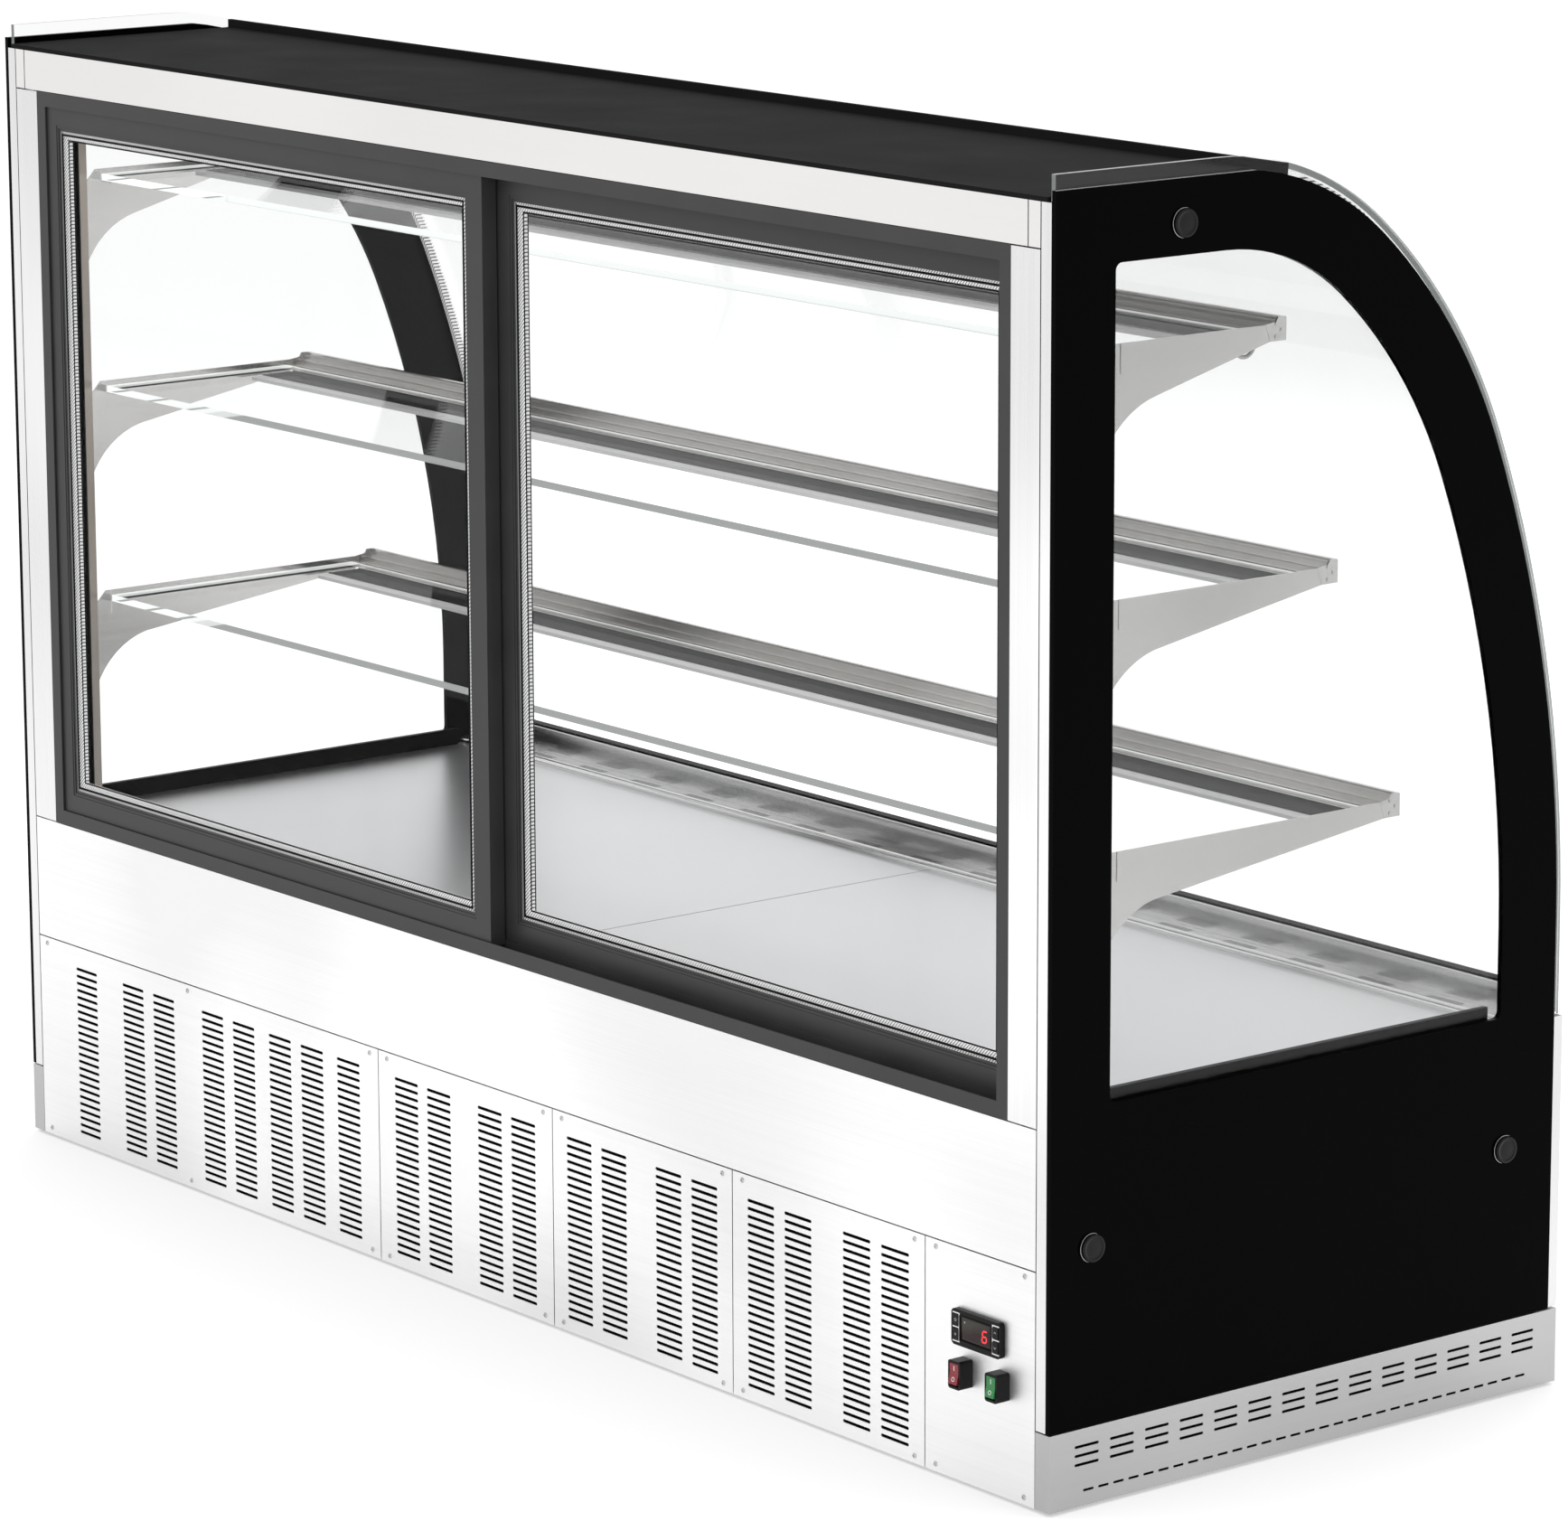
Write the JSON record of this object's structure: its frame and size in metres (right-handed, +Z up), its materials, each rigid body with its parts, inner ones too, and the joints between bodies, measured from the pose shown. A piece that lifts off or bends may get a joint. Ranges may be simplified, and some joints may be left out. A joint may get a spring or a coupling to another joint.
{
  "type": "bakery display case",
  "caption": "Refrigerated counter case with curved customer glass, sliding glass service doors, glass shelves and a louvred steel base.",
  "frame": {"origin": "centre of the footprint on the floor", "axes": "+X along the length towards the service side's left end, +Y towards the service side with the sliding doors and controls, -Y towards the customer's curved glass, +Z up"},
  "size_m": [1.91, 0.7297, 1.35],
  "materials": {
    "brushed_steel": "brushed stainless sheet, vertical grain",
    "skirt_steel": "satin stainless sheet, duller than the face panels",
    "polished_steel": "mirror-polished stainless sheet",
    "black_glass": "black enamelled glass, high gloss",
    "clear_glass": "clear toughened glass",
    "frame_black": "anodised charcoal aluminium",
    "top_black": "black semi-gloss powder coat",
    "aluminium_bar": "perforated aluminium spacer bar",
    "cap_black": "black satin cap",
    "seal_black": "black silicone and rubber",
    "shelf_metal": "satin aluminium and steel",
    "upright_steel": "slotted steel channel",
    "lamp_cover": "opal lamp cover",
    "zinc_steel": "zinc-plated steel",
    "tub_liner": "pale liner over foam",
    "foot_steel": "zinc-plated foot",
    "screw_steel": "stainless screw head",
    "control_plastic": "black moulded plastic",
    "key_plastic": "black key with a pale outline",
    "boot_rubber": "black rubber boot",
    "red_plastic": "red rocker under a clear boot",
    "green_plastic": "green rocker under a clear boot",
    "compressor_black": "black enamel",
    "coil_metal": "aluminium fins on copper pipe",
    "fan_plastic": "black fan blades",
    "box_grey": "grey box"
  },
  "bodies": {
    "cabinet": {"base_frame": "zinc_steel", "levelling_feet": "foot_steel", "base_pan": "zinc_steel", "carcass_frame": "zinc_steel", "side_skirt_right": "skirt_steel", "side_skirt_left": "skirt_steel", "corner_post_right": "brushed_steel", "corner_post_left": "brushed_steel", "end_panel_right": "black_glass", "end_panel_left": "black_glass", "end_outer_pane_right": "clear_glass", "end_outer_pane_left": "clear_glass", "end_inner_pane_right": "clear_glass", "end_inner_pane_left": "clear_glass", "service_apron": "brushed_steel", "top_rail": "brushed_steel", "grille_panel_1": "brushed_steel", "grille_panel_2": "brushed_steel", "grille_panel_3": "brushed_steel", "grille_panel_4": "brushed_steel", "control_panel": "brushed_steel", "panel_screws": "screw_steel", "customer_panels": "brushed_steel", "end_spacers": "aluminium_bar", "end_screw_caps": "cap_black", "curved_front_glass": "clear_glass", "top_panel": "top_black", "glazing_seals": "seal_black", "shelf_uprights": "upright_steel", "shelf_frame_top": "shelf_metal", "shelf_frame_middle": "shelf_metal", "shelf_frame_lower": "shelf_metal", "shelf_glass_top": "clear_glass", "shelf_glass_middle": "clear_glass", "shelf_glass_lower": "clear_glass", "led_strips": "lamp_cover", "insulated_tub": "tub_liner", "deck_trays": "polished_steel", "air_grille_strip": "polished_steel", "customer_ledge": "polished_steel", "door_surround": "frame_black", "thermostat_body": "control_plastic", "switch_boots": "boot_rubber", "compressor": "compressor_black", "condenser": "coil_metal", "evaporator": "coil_metal", "electrical_box": "box_grey"},
    "left_door": {"left_door_frame": "frame_black", "left_door_glass": "clear_glass"},
    "right_door": {"right_door_frame": "frame_black", "right_door_glass": "clear_glass"},
    "set_key": {"set_key": "key_plastic"},
    "light_key": {"light_key": "key_plastic"},
    "up_key": {"up_key": "key_plastic"},
    "down_key": {"down_key": "key_plastic"},
    "red_rocker": {"red_rocker": "red_plastic"},
    "green_rocker": {"green_rocker": "green_plastic"},
    "condenser_fan": {"condenser_fan": "fan_plastic"},
    "evaporator_fan_right": {"evaporator_fan_right": "fan_plastic"},
    "evaporator_fan_left": {"evaporator_fan_left": "fan_plastic"}
  },
  "joints": [
    {"name": "left_door_slide", "type": "slide", "parent": "cabinet", "child": "left_door", "axis": [-1, 0, 0], "range_m": [0, 0.86]},
    {"name": "right_door_slide", "type": "slide", "parent": "cabinet", "child": "right_door", "axis": [1, 0, 0], "range_m": [0, 0.86]},
    {"name": "set_key_press", "type": "slide", "parent": "cabinet", "child": "set_key", "axis": [0, -1, 0], "range_m": [0, 0.0008], "stiffness_N_per_m": 400},
    {"name": "light_key_press", "type": "slide", "parent": "cabinet", "child": "light_key", "axis": [0, -1, 0], "range_m": [0, 0.0008], "stiffness_N_per_m": 400},
    {"name": "up_key_press", "type": "slide", "parent": "cabinet", "child": "up_key", "axis": [0, -1, 0], "range_m": [0, 0.0008], "stiffness_N_per_m": 400},
    {"name": "down_key_press", "type": "slide", "parent": "cabinet", "child": "down_key", "axis": [0, -1, 0], "range_m": [0, 0.0008], "stiffness_N_per_m": 400},
    {"name": "red_rocker_tilt", "type": "hinge", "parent": "cabinet", "child": "red_rocker", "pos_m": [-0.8215, 0.363, 0.122], "axis": [-1, 0, 0], "range_deg": [0, 14]},
    {"name": "green_rocker_tilt", "type": "hinge", "parent": "cabinet", "child": "green_rocker", "pos_m": [-0.879, 0.363, 0.122], "axis": [-1, 0, 0], "range_deg": [0, 14]},
    {"name": "condenser_fan_spin", "type": "hinge", "parent": "cabinet", "child": "condenser_fan", "pos_m": [-0.314, -0.005, 0.1735], "axis": [1, 0, 0], "continuous": true},
    {"name": "evaporator_fan_right_spin", "type": "hinge", "parent": "cabinet", "child": "evaporator_fan_right", "pos_m": [-0.23, 0.061, 0.352], "axis": [0, 1, 0], "continuous": true},
    {"name": "evaporator_fan_left_spin", "type": "hinge", "parent": "cabinet", "child": "evaporator_fan_left", "pos_m": [0.23, 0.061, 0.352], "axis": [0, 1, 0], "continuous": true}
  ]
}
